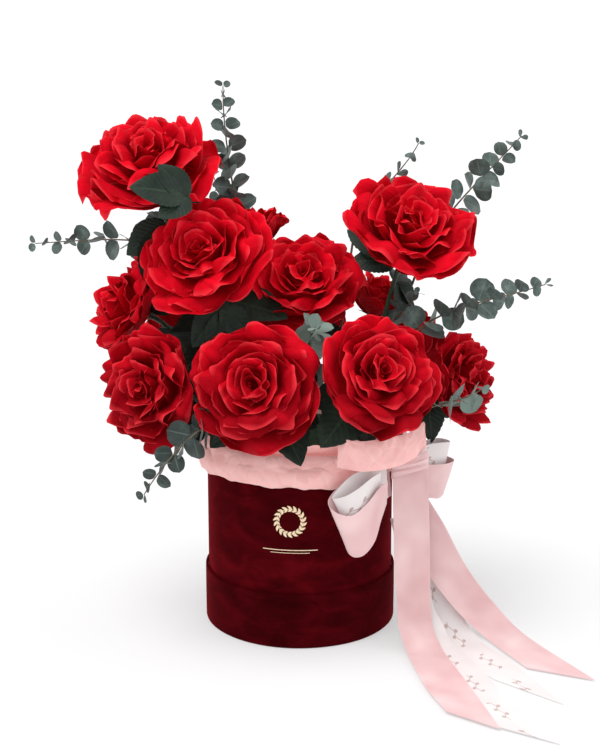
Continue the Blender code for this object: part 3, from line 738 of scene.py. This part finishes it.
def petal_rows(f, turn, seed, sag=0.0):
    """One petal of a bloom of radius 1 that faces +Z. f goes from 0 by the bud to 1 at the outside, and sag
    is how much longer the petal is, and how much more open.
    """
    rng = random.Random(seed)
    foot = math.radians(lerp(14, 90, f**0.8))
    belly = math.radians(lerp(-6, 50, f**1.1))
    rim = math.radians(lerp(10, 86, f**0.9))
    belly += math.radians(rng.uniform(-15, 10)) * f
    rim += math.radians(rng.uniform(-30, 22)) * (0.3 + 0.9 * f)
    curl = math.radians(lerp(20, 75, f**0.6) * rng.uniform(0.3, 1.4))
    length = lerp(0.86, 1.09, f) * rng.uniform(0.95, 1.04) + sag
    belly += 0.5 * sag
    rim += 1.6 * sag
    half = lerp(0.33, 0.98, f**0.75) * rng.uniform(0.90, 1.08)
    out, up = 0.02 + 0.05 * f, -0.47 + 0.05 * (1 - f)
    phases = [rng.uniform(0, math.tau) for _ in range(4)]
    ripple = lerp(0.030, 0.165, f**0.45) * rng.uniform(0.7, 1.25)
    waves = rng.uniform(4.0, 6.2)
    roll = rng.uniform(-0.07, 0.07) * f
    rows = []
    for j in range(PETAL_ROWS):
        t = (j / (PETAL_ROWS - 1))**0.9
        step = length * (t - ((j - 1) / (PETAL_ROWS - 1))**0.9) if j else 0.0
        lean = lerp(foot, belly, t / 0.5) if t < 0.5 else lerp(belly, rim, ((t - 0.5) / 0.5)**2)
        lean += curl * max(0.0, (t - 0.8) / 0.2)**2
        out += math.sin(lean) * step
        up += math.cos(lean) * step
        width = half * (0.26 + 0.74 * math.sin(min(1, t / 0.7) * math.pi / 2))
        width *= math.sqrt(1 - 0.30 * max(0.0, (t - 0.6) / 0.4)**2)
        bend = max(out, 0.08) * lerp(1.0, 1.35, f)
        row = []
        for i in range(PETAL_POINTS):
            s = 2 * i / (PETAL_POINTS - 1) - 1
            wave = math.sin(waves * s + phases[0] + 0.8 * t)
            wave += 0.45 * math.sin(2.1 * waves * s + phases[1] + 2 * t) * t
            wave += 0.14 * math.sin(4.3 * waves * s + phases[2]) * t**3
            back = (0.17 * abs(s)**3.2 + 0.030 * f * math.sin(1.6 * waves * s + phases[3])) * t**2.2 * length
            off = ripple * t**1.6 * wave * (1 - 0.45 * abs(s)**3) + roll * s * t
            off += 0.12 * f * noise.noise(Vector((1.4 * s, 1.6 * t, seed * 1.37)))
            swing = max(-2.8, min(2.8, s * width / bend))
            reach = out - bend * (1 - math.cos(swing)) + off * math.cos(lean) - back * math.sin(lean)
            aside = bend * math.sin(swing)
            rise = up - off * math.sin(lean) - back * math.cos(lean)
            far = math.hypot(reach, aside)
            if far > EDGE_FROM:
                span = EDGE_SPAN + 0.8 * sag
                kept = EDGE_FROM + span * math.tanh((far - EDGE_FROM) / span)
                reach, aside = reach * kept / far, aside * kept / far
            row.append(Vector((reach * math.cos(turn) - aside * math.sin(turn),
                               reach * math.sin(turn) + aside * math.cos(turn), rise)))
        rows.append(row)
    return rows


def bud_rows(seed):
    """The rolled heart of a bloom: one sheet wound in a spiral, its rim turned out."""
    rng = random.Random(seed)
    turns, start = rng.uniform(2.3, 3.0), rng.uniform(0, math.tau)
    rows = []
    for j in range(BUD_ROWS):
        t = j / (BUD_ROWS - 1)
        row = []
        for i in range(BUD_POINTS):
            s = i / (BUD_POINTS - 1)
            turn = start + s * turns * math.tau
            reach = 0.018 + 0.155 * s**0.9
            reach += 0.045 * max(0.0, (t - 0.6) / 0.4)**2 * (0.5 + s) + 0.008 * math.sin(3 * turn + seed)
            rise = lerp(-0.45, 0.36 - 0.10 * s + 0.018 * math.sin(2.3 * turn + seed), t)
            row.append(Vector((reach * math.cos(turn), reach * math.sin(turn), rise)))
        rows.append(row)
    return rows


def make_bloom(name, look, seed):
    """A bloom's bud and petals, on the spot and axis of its CAD solid."""
    centre, axis, radius = bloom_place(name)
    rng = random.Random(seed)
    place = (Matrix.Translation(centre) @ axis.to_track_quat("Z", "Y").to_matrix().to_4x4()
             @ Matrix.Rotation(rng.uniform(0, math.tau), 4, "Z") @ Matrix.Scale(radius, 4))
    bloom = Sheets()
    bloom.add([[place @ p for p in row] for row in bud_rows(seed)], tint=0.6)
    for k in range(PETALS):
        f = lerp(0.08, 1.0, (k / (PETALS - 1))**0.85)
        turn = k * GOLDEN_TURN + rng.uniform(-0.2, 0.2)
        rows = petal_rows(f, turn, 101 * seed + k)
        bloom.add([[place @ p for p in row] for row in rows], tint=rng.uniform(0, 1))
    for k, (direction, sag) in enumerate(SAGGING.get(name, ())):
        way = place.to_3x3().inverted() @ Vector(direction)
        rows = petal_rows(1.0, math.atan2(way.y, way.x), 101 * seed + 50 + k, sag)
        bloom.add([[place @ p for p in row] for row in rows], tint=0.3)
    piece = bloom.build(name + "_petals", look)
    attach(piece, name)
    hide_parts(name + "_bloom")
    return centre, axis, radius


def leaf_rows(root, direction, up, length, width, droop, rows, teeth=0, points=9):
    """A leaf from its root along direction: slightly folded along its rib, drooping to its tip."""
    along = Vector(direction).normalized()
    side = along.cross(Vector(up)).normalized()
    out = side.cross(along).normalized()
    made = []
    for j in range(rows):
        t = j / (rows - 1)
        half = width / 2 * math.sin(math.pi * min(1, t**0.8 * 0.98 + 0.02))**0.8
        if teeth:
            half *= 1 + 0.09 * (1 - 2 * abs((t * teeth) % 1 - 0.5))
        row = []
        for i in range(points):
            s = 2 * i / (points - 1) - 1
            lift = 0.18 * abs(s) * half - droop * length * t * t
            ripple = 0.03 * width * math.sin(9 * t + 2.2 * s) * abs(s)
            row.append(root + along * length * t + side * s * half + out * (lift + ripple))
        made.append(row)
    return made


def foot_of_stem(node, pull):
    """The middle of a CAD stem's lower end."""
    points = np.array([v.co for v in nodes[node].data.vertices], float)
    along = points @ np.array(pull)
    return Vector(points[along < along.min() + 0.0004].mean(0))


def make_stem(name, place, look, leaf_look):
    """A rose's stem from its foot in the foam to its bloom, with sepals and leaves."""
    centre, axis, radius = place
    pull = pulls[name]
    foot = foot_of_stem(name + "_stem", pull)
    base = centre - axis * (0.5 * radius + 1.5 * MM)
    reach = (base - foot).dot(pull)
    aside = (base - foot - pull * reach).length
    knee = foot + pull * (reach - math.sqrt(max(NECK**2 - aside**2, 0)))
    path = [foot.lerp(knee, k / 6) for k in range(6)]
    path += bezier(knee, knee + pull * NECK / 3, base - axis * NECK / 3, base + axis * 3 * MM, 9)
    radii = [STEM_RADIUS] * (len(path) - 3) + [STEM_RADIUS * 1.25, STEM_RADIUS * 1.9, STEM_RADIUS * 2.4]
    stem = Sheets()
    stem.add(tube_rows(path, radii, 10), wrap=True)
    piece = stem.build(name + "_cane", look)
    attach(piece, name)
    leaves = Sheets()
    rng = random.Random(name)
    across = axis.orthogonal().normalized()
    for k in range(5):
        way = Matrix.Rotation(k * math.tau / 5, 3, axis) @ across
        leaves.add(leaf_rows(base, way + axis * 0.25, axis, 0.42 * radius, 0.15 * radius,
                             droop=0.2, rows=9, points=5))
    for share, direction, length, *stalk in ROSE_LEAVES[name]:
        way = Vector(direction).normalized()
        at = base - pull * share * (base - foot).length
        at = min(path, key=lambda p: (p - at).length)
        if stalk:
            end = at + mm(*stalk[0])
            curve = bezier(at, at.lerp(end, 0.4) + mm(0, 0, -6), end - way * 10 * MM, end + way * 6 * MM, 10)
            leaves.add(tube_rows(curve, [1.1 * MM] * len(curve), 6), wrap=True)
            at = end
        up = Vector((0.3, -0.75, 0.6))
        for turn, size in ((0, 1.0), (42, 0.78), (-42, 0.78)):
            spread = Matrix.Rotation(math.radians(turn), 3, way.cross(up).cross(way).normalized())
            root = at + way * 4 * MM * (1 if turn else 2)
            leaves.add(leaf_rows(root, spread @ way, up, size * length * MM, size * 0.66 * length * MM,
                                 droop=rng.uniform(0.1, 0.3), rows=34, teeth=11))
    piece = leaves.build(name + "_leaves", leaf_look)
    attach(piece, name)
    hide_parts(name + "_stem")


# --- eucalyptus

def round_leaf(root, direction, up, length, rng):
    """A eucalyptus leaf: nearly round, slightly cupped, on a very short stalk."""
    along = Vector(direction).normalized()
    side = along.cross(Vector(up)).normalized()
    out = side.cross(along).normalized()
    width = length * rng.uniform(0.90, 1.05)
    cup, bow = rng.uniform(0.10, 0.30), rng.uniform(-0.15, 0.22)
    rows = []
    for j in range(10):
        t = j / 9
        half = width / 2 * math.sqrt(max(0.0006, 1 - (2 * t**0.92 - 1)**2))
        row = []
        for i in range(9):
            s = 2 * i / 8 - 1
            lift = cup * half * s * s - bow * length * t * t
            row.append(root + along * length * (0.08 + 0.92 * t) + side * s * half + out * lift)
        rows.append(row)
    return rows


def make_sprig(name, look, twig):
    """A sprig's twig, and its leaves in pairs that get smaller towards the tip."""
    knee, tip, pointing, pairs, leaf = SPRIGS[name]
    pull = pulls[name]
    knee, tip = mm(*knee), mm(*tip)
    foot = foot_of_stem(name, pull)
    reach = (tip - knee).length
    bend = bezier(knee, knee + pull * reach / 3, tip - Vector(pointing).normalized() * reach / 3, tip, 24)
    path = [foot.lerp(knee, k / 4) for k in range(4)] + bend
    radii = [lerp(1.4, 0.5, k / len(path)) * MM for k in range(len(path))]
    stem = Sheets()
    stem.add(tube_rows(path, radii, 8), wrap=True)
    piece = stem.build(name + "_twig", twig)
    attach(piece, name)
    rng = random.Random(name)
    leaves = Sheets()
    for pair in range(pairs):
        share = 1 - 0.86 * pair / pairs
        at = min(int(share * 24), 23)
        root = bend[at].lerp(bend[at + 1], share * 24 - at)
        tangent = (bend[at + 1] - bend[at]).normalized()
        size = leaf * (0.36 + 0.56 * min(1.0, 2.0 * pair / pairs)) * MM
        turn = Matrix.Rotation(math.radians(90 * pair + 25 + rng.uniform(-22, 22)), 3, tangent)
        across = turn @ tangent.cross(Vector((0.2, 0.9, 0.3))).normalized()
        for side in (across, -across):
            direction = side + tangent * rng.uniform(0.2, 0.8)
            face = tangent + tangent.cross(side) * rng.choice((-1, 1)) * rng.uniform(0.5, 1.6)
            leaves.add(round_leaf(root, direction, face, size * rng.uniform(0.88, 1.12), rng),
                       tint=rng.uniform(0, 1) + SPRIG_TINTS.get(name, 0.0))
    piece = leaves.build(name + "_foliage", look)
    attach(piece, name)
    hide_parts(name)


# --- tissue

def crumple(point, size):
    """Facets that meet in sharp creases, about -0.5 to 0.5, as in crushed paper."""
    value = 0.0
    for scale, share in ((1.0, 1.0), (2.4, 0.45), (4.6, 0.16)):
        place = Vector((point.x, point.y, 0.55 * point.z)) * scale / size
        sway = noise.noise_vector(place * 0.8) * 0.35
        value += share * (noise.voronoi(place + sway)[0][0] - 0.5)
    return value


def make_tissue(look):
    """The tissue: a layer that stands up round the stems, and two that fold over the rim."""
    for layer, (name, profile) in enumerate(TISSUE_LAYERS.items()):
        spine = smooth_path([Vector((r, z, 0)) for r, z in profile], TISSUE_ROWS)
        rows = []
        for j, at in enumerate(spine):
            t = j / TISSUE_ROWS
            free = min(1.0, max(0.0, (t - 0.22) / 0.4))
            row = []
            for k in range(TISSUE_STEPS + 1):
                flat = level(math.tau * (k % TISSUE_STEPS) / TISSUE_STEPS)
                base = flat * at.x + Vector((0, 0, at.y))
                crease = crumple(base + Vector((0, 0, 300 * layer)), 44)
                sway = noise.noise(flat * 3.4 + Vector((layer * 7, 2, 0)))
                edge = noise.noise(flat * 5.1 + Vector((4, layer * 3, 1)))
                edge += 0.3 * noise.noise(flat * 13 + Vector((layer, 9, 2)))
                out = (9.0 * crease * (1 - 0.45 * t) + 5.0 * sway) * free
                lift = 2.0 * crease * (1 - 0.9 * t) + 12.0 * edge * t * t * (0.3 if layer else 1)
                radius = max(at.x + out, TISSUE_INSIDE + 0.5 * layer)
                height = at.y + lift * free
                if radius > 95 and height < BOX_TOP + 6:
                    radius = max(radius, BOX_RADIUS + 1.0 + layer)
                row.append((flat * min(radius, TISSUE_OUTSIDE) + Vector((0, 0, height))) * MM)
            rows.append(row)
        made = Sheets()
        made.add(rows)
        piece = made.build(name, look)
        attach(piece, "box")
        if layer == 2:
            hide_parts("tissue_collar")
    make_tissue_fold(look)


def make_tissue_fold(look):
    """The piece of tissue that is folded forward over the bow."""
    spine = smooth_path([mm(*p) for p in FOLD_SPINE], 90)
    rows = []
    for k, point in enumerate(spine):
        t = k / (len(spine) - 1)
        flat = Vector((point.x, point.y, 0)).normalized()
        row = []
        for i in range(41):
            turn = math.radians(-70 + 220 * i / 40)
            deep, high = (3.5 + 2 * math.sin(math.pi * t)) * MM, (15 + 2 * math.sin(math.pi * t)) * MM
            at = point + flat * deep * math.cos(turn) - Vector((0, 0, high * math.sin(turn)))
            crease = crumple(at / MM + Vector((50, 0, 0)), 24)
            row.append(at + flat * 5.5 * MM * crease + Vector((0, 0, 2.5 * MM * crease)))
        rows.append(row)
    made = Sheets()
    made.add(rows)
    piece = made.build("tissue_fold_sheet", look)
    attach(piece, "box")
    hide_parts("tissue_fold")


# --- ribbons

def make_ribbon(name, look):
    """A ribbon with a little thickness, between its two long edges. Its UVs run along in metres."""
    tail = "tail" in name
    count = 72 if tail else 56
    edges = list(zip(*(smooth_path([mm(*p) for p in edge], count) for edge in RIBBONS[name])))
    outer, inner, uvs = [], [], []
    gone = 0.0
    for i, (left, right) in enumerate(edges):
        before, after = edges[max(i - 1, 0)], edges[min(i + 1, len(edges) - 1)]
        along = after[0] + after[1] - before[0] - before[1]
        out = along.cross(right - left).normalized()
        if i:
            gone += (left + right - edges[i - 1][0] - edges[i - 1][1]).length / 2
        row, under, places = [], [], []
        for c in range(RIBBON_POINTS):
            s = c / (RIBBON_POINTS - 1)
            soft = 0.35 * MM * noise.noise(Vector((s * 2, gone * 22, len(name))))
            at = left.lerp(right, s) + out * soft
            row.append(at + out * RIBBON_THICK / 2)
            under.append(at - out * RIBBON_THICK / 2)
            places.append((s, gone))
        outer.append(row)
        inner.append(under)
        uvs.append(places)
    made = Sheets()
    made.add(outer, uvs=uvs)
    made.add([row[::-1] for row in inner], uvs=[row[::-1] for row in uvs])
    for c in (0, RIBBON_POINTS - 1):
        rim = [[o[c], u[c]] if c else [u[c], o[c]] for o, u in zip(outer, inner)]
        made.add(rim, uvs=[[row[c], row[c]] for row in uvs])
    for o, u, places in ((outer[0], inner[0], uvs[0]), (outer[-1][::-1], inner[-1][::-1], uvs[-1][::-1])):
        made.add([o, u], uvs=[places, places])
    piece = made.build(name + "_satin", look)
    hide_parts(name)
    if tail:
        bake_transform(piece)
    else:
        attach(piece, "box")


def make_knot(look):
    """The pleated band that is wrapped over the tops of the tails and the ends of the loops."""
    middle, out, across = mm(110, -80, 192), Vector((0.316, -0.949, 0)), Vector((0.949, 0.316, 0))
    rows = []
    for j in range(61):
        v = 2 * j / 60 - 1
        row = []
        for i in range(49):
            turn = math.radians(105 * (2 * i / 48 - 1))
            pleat = math.sin(3.2 * math.pi * v + 1.2 * math.sin(turn)) + 0.4 * math.sin(7 * v + 2 * turn)
            squeeze = 1 - 0.18 * math.cos(turn)
            depth = (6.5 - 2.0 * v * v) * math.cos(turn) + 0.9 * pleat * abs(math.cos(turn))
            row.append(middle + (across * 20 * math.sin(turn) + out * depth) * MM
                       + Vector((0, 0, 11 * v * squeeze + 3.5 * math.sin(turn))) * MM)
        rows.append(row)
    made = Sheets()
    made.add(rows)
    piece = made.build("knot_satin", look)
    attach(piece, "box")
    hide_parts("ribbon_knot")


# --- putting it together

make_camera()
make_room()
make_lights()
# The lid's velvet is the box's velvet darkened to 0.72: painted shade.
make_box(velvet_look("velvet_burgundy", 1.0), velvet_look("velvet_burgundy_lid_painted_shade", 0.72),
         plain_look("board_grey", (600, 4.0), (0.40, 0.36, 0.31), (0.52, 0.47, 0.41), (0.2, 0.3),
                    Roughness=0.92))
make_foil(plain_look("foil_gold", (420, 3.0), (0.80, 0.58, 0.36), (0.95, 0.78, 0.56), (0.15, 0.2),
                     Metallic=1.0, Roughness=0.34))
paint("foam_block", foam_look())
paint("foam_liner", plain_look("film_clear", (60, 3.0), (0.70, 0.74, 0.74), (0.82, 0.86, 0.86), (0.4, 0.6),
                               Transmission_Weight=0.6, Roughness=0.25))
paint("bow_pick", plain_look("pick_beech", (240, 3.0), (0.50, 0.36, 0.22), (0.68, 0.52, 0.34), (0.2, 0.2),
                             scale=(1, 1, 6), Roughness=0.75))
petal = petal_look()
rose_leaf = rose_leaf_look()
cane = stem_look("rose_cane", (0.015, 0.035, 0.018), (0.035, 0.07, 0.03))
for number, rose in enumerate(ROSE_LEAVES):
    make_stem(rose, make_bloom(rose, petal, number + 1), cane, rose_leaf)
eucalyptus = eucalyptus_look()
twig = stem_look("eucalyptus_twig", (0.09, 0.06, 0.04), (0.17, 0.13, 0.08))
for sprig in SPRIGS:
    make_sprig(sprig, eucalyptus, twig)
make_tissue(tissue_look())
pink_satin = satin_look("satin_pink", (0.66, 0.37, 0.38), (0.88, 0.64, 0.64))
white_satin = satin_look("satin_white", (0.72, 0.66, 0.66), (0.86, 0.81, 0.80), printed=True)
make_knot(pink_satin)
for ribbon in RIBBONS:
    pink = ribbon.startswith("pink")
    make_ribbon(ribbon, pink_satin if pink else white_satin)
